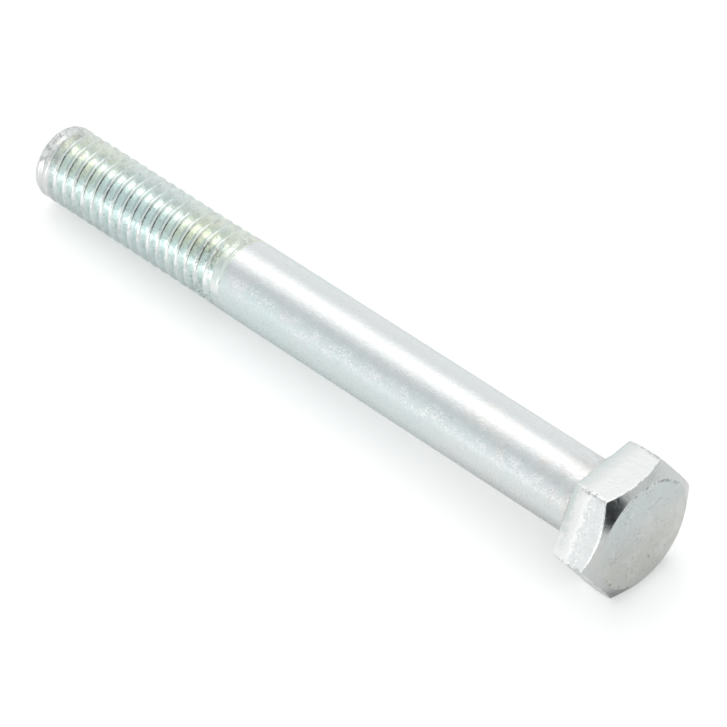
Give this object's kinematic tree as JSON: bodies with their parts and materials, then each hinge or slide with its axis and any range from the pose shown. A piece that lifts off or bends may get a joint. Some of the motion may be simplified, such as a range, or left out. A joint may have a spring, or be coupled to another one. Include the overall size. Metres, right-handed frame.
{
  "type": "axle bolt",
  "caption": "Hexagon head axle bolt with a long plain shank, a short rolled thread and a chamfered point, zinc plated.",
  "frame": {"origin": "Centre of the bearing face under the head, on the bolt's axis", "axes": "+X runs along the shank from the bearing face to the point, +Z is the outward normal of the head's top flat, and +Y points to a corner of the hexagon. The bolt lies on the flat that faces -Z"},
  "size_m": [0.059, 0.0114, 0.0098],
  "materials": {
    "zinc_plated_steel": "bright zinc plating with a light blue tint, satin, with fine specks and small handling marks"
  },
  "bodies": {
    "root": {"bolt": "zinc_plated_steel"}
  },
  "joints": []
}
